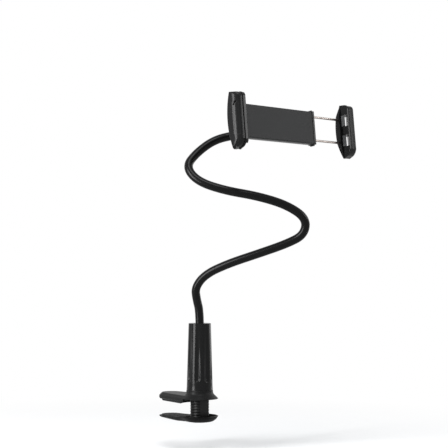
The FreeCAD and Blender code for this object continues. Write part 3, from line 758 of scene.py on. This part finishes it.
def coverOutline(shrink, cutFront=0.0, bows=None):
    # side view of the cover (y, z), shrunk: round front corners, a bowed back and sloping ends
    c = jawCover
    front, back = c["front"] + shrink + cutFront, c["back"] - shrink
    high, low = c["top"] - shrink, c["bottom"] + shrink
    topBow, bottomBow = bows or (c["topBow"], c["bottomBow"])
    highBack, lowBack = back - topBow, back - bottomBow
    top, bottom = high - c["topSlope"], low + c["bottomSlope"]
    r1 = min(c["topRadius"], c["radiusLimit"] * (highBack - front))
    r2 = min(c["bottomRadius"], c["radiusLimit"] * (lowBack - front))
    k = 1 - math.sqrt(0.5)
    lean1 = c["topSlope"] * r1 / (highBack - front)
    lean2 = c["bottomSlope"] * r2 / (lowBack - front)
    n = c["outlinePoints"]
    parts = [
        linePoints((highBack, high), (front + r1, top + lean1), n[0]),
        arcPoints((front + r1, top + lean1), (front + r1 * k, top - r1 * k), (front, top - r1), n[1]),
        linePoints((front, top - r1), (front, bottom + r2), n[2]),
        arcPoints((front, bottom + r2), (front + r2 * k, bottom + r2 * k), (front + r2, bottom - lean2),
                  n[3]),
        linePoints((front + r2, bottom - lean2), (lowBack, low), n[4]),
        arcPoints((lowBack, low), (back, (high + low) / 2), (highBack, high), n[5]),
    ]
    return np.concatenate(parts)


def coverDent(y, z):
    # how far the outer face lies back: a rounded panel and a slanting notch, each with a soft rim
    c = jawCover
    qy = np.abs(y - c["panelMiddle"]) - (c["panelHalf"][0] - c["panelRound"])
    qz = np.abs(z) - (c["panelHalf"][1] - c["panelRound"])
    away = np.hypot(np.clip(qy, 0, None), np.clip(qz, 0, None)) + np.minimum(np.maximum(qy, qz), 0)
    panel = c["panelDepth"] * smoothStep(c["panelRound"] - away, 0, c["panelSoftness"])
    a = math.radians(c["notchTurn"])
    dy, dz = y - c["notchMiddle"], z - c["notchHeight"]
    along, across = dz * math.cos(a) - dy * math.sin(a), dz * math.sin(a) + dy * math.cos(a)
    reach = c["notchHalf"][1] - c["notchHalf"][0]
    gap = np.hypot(np.clip(np.abs(along) - reach, 0, None), across)
    notch = c["notchDepth"] * smoothStep(c["notchHalf"][0] + c["notchRim"] - gap, 0, c["notchSoftness"])
    return panel + notch


def coverMesh(side):
    # rings of the outline from the inner rim outwards, whose front follows a flattened quarter ellipse,
    # cut (1 - (1 - t^p)^(1/p)), and whose other edges a small quarter circle, and then in to a spine
    c = jawCover
    outside = c["wall"] + c["thickness"]
    reach, cut = c[side + "Round"]
    power = c["roundPower"]
    rings = [(c["wall"] + out, coverOutline(c["step"] + depth)) for out, depth in c["groove"]]
    for t in np.sin(np.linspace(0, math.pi / 2, c["sideRows"])):
        x = outside - reach + reach * t
        u = min(1.0, max(0.0, (x - outside + c["edge"]) / c["edge"]))
        shrink = c["step"] + c["edge"] * (1 - math.sqrt(1 - u * u))
        rings.append((x, coverOutline(shrink, cut * (1 - (1 - t ** power) ** (1 / power)))))
    rim = rings[-1][1]
    middle, low, high = c["spine"]
    spine = np.stack([np.full(len(rim), middle), np.clip(rim[:, 1], low, high)], 1)
    for t in np.linspace(0, 1, c["capRows"])[1:-1]:
        rings.append((outside, rim * (1 - t) + spine * t))
    points = np.stack([np.column_stack([np.full(len(outline), x), outline]) for x, outline in rings])
    frontward = np.gradient(points[:, :, 1], axis=0)
    outward = np.gradient(points[:, :, 0], axis=0)
    length = np.maximum(np.hypot(frontward, outward), 1e-6)
    dent = coverDent(points[:, :, 1], points[:, :, 2])
    dent *= smoothStep(points[:, :, 0], outside - reach - 0.01, outside - 0.6 * reach)
    dent *= points[:, :, 1] < middle
    points[:, :, 0] -= dent * np.abs(frontward) / length
    points[:, :, 1] += dent * np.abs(outward) / length
    return closedTube(points)


def toHolder(points, side):
    # from the jaw's own frame into the row frame
    outwards, inner = jawCover[side]
    return np.stack(holderPoint(outwards * points[:, 0] + inner, points[:, 1], points[:, 2]), 1)


def solidPiece(name, points, faces, side, material):
    piece = addMesh(name, toHolder(points, side), faces, material)
    weldPoints(piece)
    return piece


def blockPoints(low, high):
    xs, ys, zs = zip(low, high)
    corners = np.array([[x, y, z] for x in xs for y in ys for z in zs])
    quads = [(0, 1, 3, 2), (4, 6, 7, 5), (0, 4, 5, 1), (2, 3, 7, 6), (0, 2, 6, 4), (1, 5, 7, 3)]
    return corners, quads


def slotCutter(side, slots):
    # two blocks that slant to the back on their way out
    c = jawCover
    blocks = []
    for end in (-1, 1):
        low, high = sorted((end * c["slotNear"], end * c["slotFar"]))
        corners, quads = blockPoints((slots["slotStart"], slots["slotFront"], low),
                                     (c["slotEnd"], slots["slotBack"], high))
        corners[:, 1] += c["slotSlant"] * corners[:, 0]
        blocks.append(corners)
    points = np.concatenate(blocks)
    faces = quads + [tuple(v + 8 for v in q) for q in quads]
    return addMesh("slotCutter", toHolder(points, side), faces, coverBlack)


def buildCover(side, name, node, body):
    piece = solidPiece(name, *coverMesh(side), side, coverBlack)
    if side == "sliding":
        cutter = slotCutter(side, jawCover)
        weldPoints(cutter)
        applyCut(piece, cutter, "DIFFERENCE")
    else:
        h = jawCover["heel"]
        block = blockPoints((h["inner"], h["front"], h["low"]), (h["outer"], h["back"], h["high"]))
        applyCut(piece, solidPiece("coverHeel", *block, side, coverBlack), "UNION")
    softenShading(piece.data, 32)
    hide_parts(node)
    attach(piece, body)


buildCover("fixed", "roundedFixedCover", "fixed_jaw_cover", "holder")
buildCover("sliding", "roundedSlidingCover", "sliding_jaw_cover", "sliding_jaw")
print("jaw covers built")


# Sliding jaw's inner frame: a wall with a narrow lip, a tapering flange behind and two slots beside the lip

jawFrame = {
    "wall": 2.9,
    "lipWidth": 1.0,
    "lipThickness": 1.8,
    "flangeWidth": 4.2,
    "flangeFront": -22.2,
    "endWidth": 0.6,
    "upperTaper": (21.5, 33.5),
    "lowerTaper": (-18.0, -40.0),
    "bows": (7.8, 7.8),
    "slotStart": -6.0,
    "slotFront": -34.2,
    "slotBack": -29.4,
    "softEdge": 0.45,
    # how far the cutting shapes reach past the jaw, and how deep the wedges are
    "beyond": 60.0,
    "wedgeDepth": 40.0,
}


def prismMesh(polygon, start, along):
    # a flat polygon carried along a vector, as a closed mesh
    low = np.array(polygon, float) + np.array(start, float)
    count = len(low)
    points = np.concatenate([low, low + np.array(along, float)])
    faces = [list(range(count))[::-1], list(range(count, 2 * count))]
    faces += [[k, (k + 1) % count, (k + 1) % count + count, k + count] for k in range(count)]
    return points, faces


def frameTapers(side):
    # wedges that narrow the flange towards its ends
    f = jawFrame
    points, faces = [], []
    for near, far in (f["lowerTaper"], f["upperTaper"]):
        past = math.copysign(f["beyond"], far)
        w, e, y = -f["flangeWidth"], -f["endWidth"], f["flangeFront"] - 0.5
        wedge = [(w - 1, y, near), (w, y, near), (e, y, far), (e, y, past), (w - 1, y, past)]
        more, quads = prismMesh(wedge, (0, 0, 0), (0, f["wedgeDepth"], 0))
        faces += [[v + 10 * len(points) for v in q] for q in quads]
        points.append(more)
    return solidPiece("frameTapers", np.concatenate(points), faces, side, satinBlack)


def bevelEdges(piece, width, degrees):
    # softens the piece's sharp edges
    work = bmesh.new()
    work.from_mesh(piece.data)
    sharp = [e for e in work.edges if len(e.link_faces) == 2 and e.calc_face_angle() > math.radians(degrees)]
    bmesh.ops.bevel(work, geom=sharp, offset=width * millimetre, segments=2, profile=0.6,
                    affect="EDGES", clamp_overlap=True)
    work.to_mesh(piece.data)
    work.free()


def buildSlidingFrame():
    f, c = jawFrame, jawCover
    lipBack = c["front"] + f["lipThickness"]
    section = [(-f["lipWidth"], c["front"], 0), (f["wall"], c["front"], 0), (f["wall"], c["back"], 0),
               (-f["flangeWidth"], c["back"], 0), (-f["flangeWidth"], f["flangeFront"], 0),
               (0, f["flangeFront"], 0), (0, lipBack, 0), (-f["lipWidth"], lipBack, 0)]
    side = "sliding"
    bar = prismMesh(section, (0, 0, -f["beyond"]), (0, 0, 2 * f["beyond"]))
    piece = solidPiece("slidingJawFrame", *bar, side, satinBlack)
    outline = coverOutline(0.0, bows=f["bows"])
    outline = np.column_stack([np.zeros(len(outline)), outline])
    prism = prismMesh(outline, (-f["flangeWidth"] - 1, 0, 0), (f["flangeWidth"] + f["wall"] + 1, 0, 0))
    applyCut(piece, solidPiece("frameSide", *prism, side, satinBlack), "INTERSECT")
    applyCut(piece, frameTapers(side), "DIFFERENCE")
    applyCut(piece, slotCutter(side, f), "DIFFERENCE")
    bevelEdges(piece, f["softEdge"], 40)
    softenShading(piece.data, 30)
    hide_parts("sliding_jaw_frame")
    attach(piece, "sliding_jaw")
    print("sliding jaw's frame built")


buildSlidingFrame()


# Jaw pads: thin soft strips with fine cross ribs

jawPad = {
    "thickness": 0.55,
    "ribHeight": 0.22,
    "ribs": 9,
    "near": 6.6,
    "far": 22.2,
    "rim": 0.5,
    "sunk": 0.2,
    "steps": (16, 110),
    # front and back of the strips on each jaw
    "fixed": (-30.3, -24.4),
    "sliding": (-28.9, -22.6),
}


def buildPads(side, name, node, body):
    # height over the wall: thickness plus ribs as a cosine of z, within a rounded rim
    p = jawPad
    front, back = p[side]
    rows, columns = p["steps"]
    points, faces = [], []
    for end in (-1, 1):
        low, high = sorted((end * p["near"], end * p["far"]))
        y, z = np.meshgrid(np.linspace(front, back, rows), np.linspace(low, high, columns), indexing="ij")
        edge = np.minimum(np.minimum(y - front, back - y), np.minimum(z - low, high - z))
        rise = np.sqrt(1 - (1 - np.clip(edge / p["rim"], 0, 1)) ** 2)
        ribs = 0.5 - 0.5 * np.cos(2 * math.pi * p["ribs"] * (z - low) / (high - low))
        height = (p["thickness"] + p["ribHeight"] * ribs) * rise
        top = np.stack([-height, y, z], 2).reshape(-1, 3)
        under = np.stack([np.full_like(y, p["sunk"]), y, z], 2).reshape(-1, 3)
        quads = gridFaces(rows, columns, wrapColumns=False)
        count, base = rows * columns, sum(len(v) for v in points)
        rim = list(range(columns)) + [r * columns + columns - 1 for r in range(1, rows)]
        rim += [(rows - 1) * columns + k for k in range(columns - 2, -1, -1)]
        rim += [r * columns for r in range(rows - 2, 0, -1)]
        walls = [[a, b, b + count, a + count] for a, b in zip(rim, rim[1:] + rim[:1])]
        block = [list(q) for q in quads] + [[v + count for v in q[::-1]] for q in quads] + walls
        faces += [[v + base for v in f] for f in block]
        points.append(np.concatenate([top, under]))
    piece = solidPiece(name, np.concatenate(points), faces, side, jawRubber)
    softenShading(piece.data, 40)
    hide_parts(node)
    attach(piece, body)


buildPads("fixed", "ribbedFixedPads", "fixed_jaw_pads", "holder")
buildPads("sliding", "ribbedSlidingPads", "sliding_jaw_pads", "sliding_jaw")
print("jaw pads built")


# Stage: a pale floor below, and a world that is white to the camera and in reflections

stage = {
    "floorZ": -0.066,
    "floorSize": 14.0,
    "floorColour": (0.83, 0.83, 0.83, 1),
    "floorRoughness": 0.7,
    "floorSpecular": 0.1,
    "mottleColour": (0.8, 0.8, 0.8, 1),
    "mottleScale": 3.0,
    "shadowReach": (0.15, 0.75),
    "worldColour": (0.94, 0.97, 1.0, 1),
    "worldStrength": 0.5,
}


def pickNode(tree, factor, first, second):
    node = tree.nodes.new("ShaderNodeMixShader")
    for socket, value in zip(node.inputs, (factor, first, second)):
        tree.links.new(value, socket)
    return node.outputs[0]


def whiteLight(tree, kind):
    node = tree.nodes.new(kind)
    node.inputs["Color"].default_value = (1, 1, 1, 1)
    node.inputs["Strength"].default_value = 1.0
    return node.outputs[0]


def seenDirectly(tree):
    # 1 for camera, glossy and transmission rays
    path = tree.nodes.new("ShaderNodeLightPath")
    seen = mathNode(tree, "MAXIMUM", path.outputs["Is Camera Ray"], path.outputs["Is Glossy Ray"])
    return mathNode(tree, "MAXIMUM", seen, path.outputs["Is Transmission Ray"])


def buildFloor():
    # lit and shadowed near the object, and plain white further out, where it meets the background
    half, z = stage["floorSize"] / 2, stage["floorZ"]
    mesh = bpy.data.meshes.new("paleFloor")
    mesh.from_pydata([(-half, -half, z), (half, -half, z), (half, half, z), (-half, half, z)], [],
                     [(0, 1, 2, 3)])
    floor = bpy.data.objects.new("paleFloor", mesh)
    bpy.context.scene.collection.objects.link(floor)
    material = bpy.data.materials.new("paleFloor")
    material.use_nodes = True
    tree = material.node_tree
    shader = tree.nodes["Principled BSDF"]
    shader.inputs["Roughness"].default_value = stage["floorRoughness"]
    shader.inputs["Specular IOR Level"].default_value = stage["floorSpecular"]
    place = tree.nodes.new("ShaderNodeTexCoord").outputs["Object"]
    mottle = noiseNode(tree, place, stage["mottleScale"], 3.0)
    colour = mixColour(tree, mottle.outputs["Fac"], stage["mottleColour"], stage["floorColour"])
    tree.links.new(colour, shader.inputs["Base Color"])
    away = tree.nodes.new("ShaderNodeVectorMath")
    away.operation = "LENGTH"
    tree.links.new(place, away.inputs[0])
    fade = tree.nodes.new("ShaderNodeMapRange")
    fade.interpolation_type = "SMOOTHSTEP"
    fade.inputs["From Min"].default_value, fade.inputs["From Max"].default_value = stage["shadowReach"]
    tree.links.new(away.outputs["Value"], fade.inputs["Value"])
    factor = mathNode(tree, "MULTIPLY", fade.outputs["Result"], seenDirectly(tree))
    surface = pickNode(tree, factor, shader.outputs[0], whiteLight(tree, "ShaderNodeEmission"))
    tree.links.new(surface, tree.nodes["Material Output"].inputs["Surface"])
    mesh.materials.append(material)


def buildWorld():
    world = bpy.data.worlds.new("studio")
    bpy.context.scene.world = world
    world.use_nodes = True
    tree = world.node_tree
    soft = tree.nodes["Background"]
    soft.inputs["Color"].default_value = stage["worldColour"]
    soft.inputs["Strength"].default_value = stage["worldStrength"]
    surface = pickNode(tree, seenDirectly(tree), soft.outputs[0], whiteLight(tree, "ShaderNodeBackground"))
    tree.links.new(surface, tree.nodes["World Output"].inputs["Surface"])


lamps = {
    # name: place, aim, width, height, watts (metres)
    "keySoftbox": ((-1.7, 0.15, 0.5), (0.0, -0.1, 0.2), 0.62, 1.7, 58.0),
    "fillSoftbox": ((1.5, -1.8, 1.0), (0.0, -0.15, 0.3), 0.55, 0.8, 14.0),
    "rimSoftbox": ((1.9, -0.1, 0.45), (0.0, -0.1, 0.2), 0.5, 1.5, 8.0),
    "topSoftbox": ((-0.5, -0.7, 1.9), (0.0, -0.1, 0.2), 0.8, 0.8, 15.0),
}


def buildLamps():
    for name, (place, aim, width, height, watts) in lamps.items():
        light = bpy.data.lights.new(name, "AREA")
        light.shape = "RECTANGLE"
        light.size, light.size_y = width, height
        light.energy = watts
        lamp = bpy.data.objects.new(name, light)
        lamp.location = place
        lamp.rotation_euler = (Vector(aim) - Vector(place)).to_track_quat("-Z", "Y").to_euler()
        bpy.context.scene.collection.objects.link(lamp)


# Camera: a little above the table, 41 degrees round and tilted up. Pixels are of a 448 by 448 picture.

camera = {
    "pictureSize": 448,
    "focalPixels": 1200.0,
    "pixelsPerMillimetre": 0.705,
    "turn": 41.0,
    "horizonRow": 272.0,
    "tableRow": 403.0,
    "columnPixel": 199.8,
    "sensorWidth": 36.0,
    "clipStart": 0.01,
}


def buildCamera():
    c = camera
    centre = c["pictureSize"] / 2
    distance = c["focalPixels"] / c["pixelsPerMillimetre"]
    turn = math.radians(c["turn"])
    forward = Vector((math.sin(turn), math.cos(turn), 0))
    right = Vector((math.cos(turn), -math.sin(turn), 0))
    x, y = neckRoute["column"]
    place = Vector((x, y, 0)) - forward * distance
    place += right * ((centre - c["columnPixel"]) / c["focalPixels"] * distance)
    place.z = (c["tableRow"] - c["horizonRow"]) / c["focalPixels"] * distance
    pitch = math.atan((c["horizonRow"] - centre) / c["focalPixels"])
    aim = forward * math.cos(pitch) + Vector((0, 0, math.sin(pitch)))
    up = right.cross(aim)
    view = bpy.data.cameras.new("photoCamera")
    view.sensor_width = c["sensorWidth"]
    view.lens = view.sensor_width * c["focalPixels"] / c["pictureSize"]
    view.clip_start = c["clipStart"]
    viewpoint = bpy.data.objects.new("photoCamera", view)
    rows = [[*row] for row in zip(right, up, -aim, place * millimetre)]
    viewpoint.matrix_world = Matrix(rows + [[0, 0, 0, 1]])
    bpy.context.scene.collection.objects.link(viewpoint)
    bpy.context.scene.camera = viewpoint


buildFloor()
buildWorld()
buildLamps()
buildCamera()
bpy.context.scene.view_settings.view_transform = "Standard"
print("stage, lamps and camera built")
